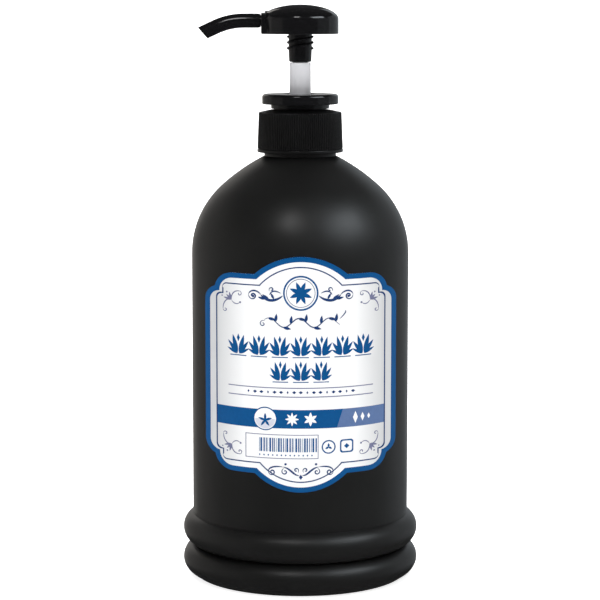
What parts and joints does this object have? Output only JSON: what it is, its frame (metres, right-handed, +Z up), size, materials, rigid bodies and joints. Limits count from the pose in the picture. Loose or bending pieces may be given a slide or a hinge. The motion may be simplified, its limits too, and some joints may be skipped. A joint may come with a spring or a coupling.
{
  "type": "pump bottle",
  "caption": "Tall round bottle with a beaded foot and domed shoulder, a ribbed screw cap and a press-down dispenser pump with a drooping spout.",
  "frame": {"origin": "centre of the bottle's foot, on the surface it stands on", "axes": "+Z up along the bottle's axis; the label faces -Y and the spout points to -X"},
  "size_m": [0.1006, 0.1006, 0.2433],
  "materials": {
    "bottle_plastic": "matt black blow-moulded plastic",
    "label_film": "white printed film with blue ornament",
    "closure_plastic": "satin black",
    "head_plastic": "gloss black",
    "stem_plastic": "smooth white",
    "natural_plastic": "natural, slightly milky",
    "soft_plastic": "soft natural polyethylene",
    "gasket_foam": "closed-cell foam",
    "spring_steel": "drawn stainless wire",
    "ball_glass": "polished glass"
  },
  "bodies": {
    "bottle": {"bottle": "bottle_plastic", "front_label": "label_film"},
    "seal_ring": {"neck_gasket": "gasket_foam"},
    "pump_body": {"pump_housing": "natural_plastic", "ball_cage": "natural_plastic", "dip_tube": "natural_plastic", "return_spring": "spring_steel", "locking_collar": "head_plastic", "stem_wiper": "soft_plastic"},
    "cap": {"closure": "closure_plastic"},
    "plunger": {"stem": "stem_plastic", "piston_rod": "natural_plastic"},
    "piston": {"piston_seal": "soft_plastic"},
    "head": {"pump_head": "head_plastic", "nozzle": "head_plastic"},
    "ball": {"inlet_ball": "ball_glass"}
  },
  "joints": [
    {"name": "pump_pull_out", "type": "slide", "parent": "bottle", "child": "seal_ring", "axis": [0, 0, 1], "range_m": [0, 0.2]},
    {"name": "pump_rise", "type": "slide", "parent": "seal_ring", "child": "pump_body", "axis": [0, 0, 1], "range_m": [0, 0.0065]},
    {"name": "closure_turn", "type": "hinge", "parent": "pump_body", "child": "cap", "pos_m": [0, 0, 0.19], "axis": [0, 0, 1], "range_deg": [0, 540]},
    {"name": "pump_stroke", "type": "slide", "parent": "pump_body", "child": "plunger", "axis": [0, 0, 1], "range_m": [-0.0205, 0], "stiffness_N_per_m": 600, "springref_m": 0.01, "deforming": ["return_spring"]},
    {"name": "piston_float", "type": "slide", "parent": "plunger", "child": "piston", "axis": [0, 0, 1], "range_m": [0, 0.0015]},
    {"name": "spout_swivel", "type": "hinge", "parent": "plunger", "child": "head", "pos_m": [0, 0, 0.2367], "axis": [0, 0, 1], "continuous": true},
    {"name": "inlet_ball_lift", "type": "slide", "parent": "pump_body", "child": "ball", "axis": [0, 0, 1], "range_m": [0, 0.0014]}
  ],
  "couplings": [
    {"joint": "pump_rise", "follows": "closure_turn", "m_per_rad": 0.0006737}
  ]
}
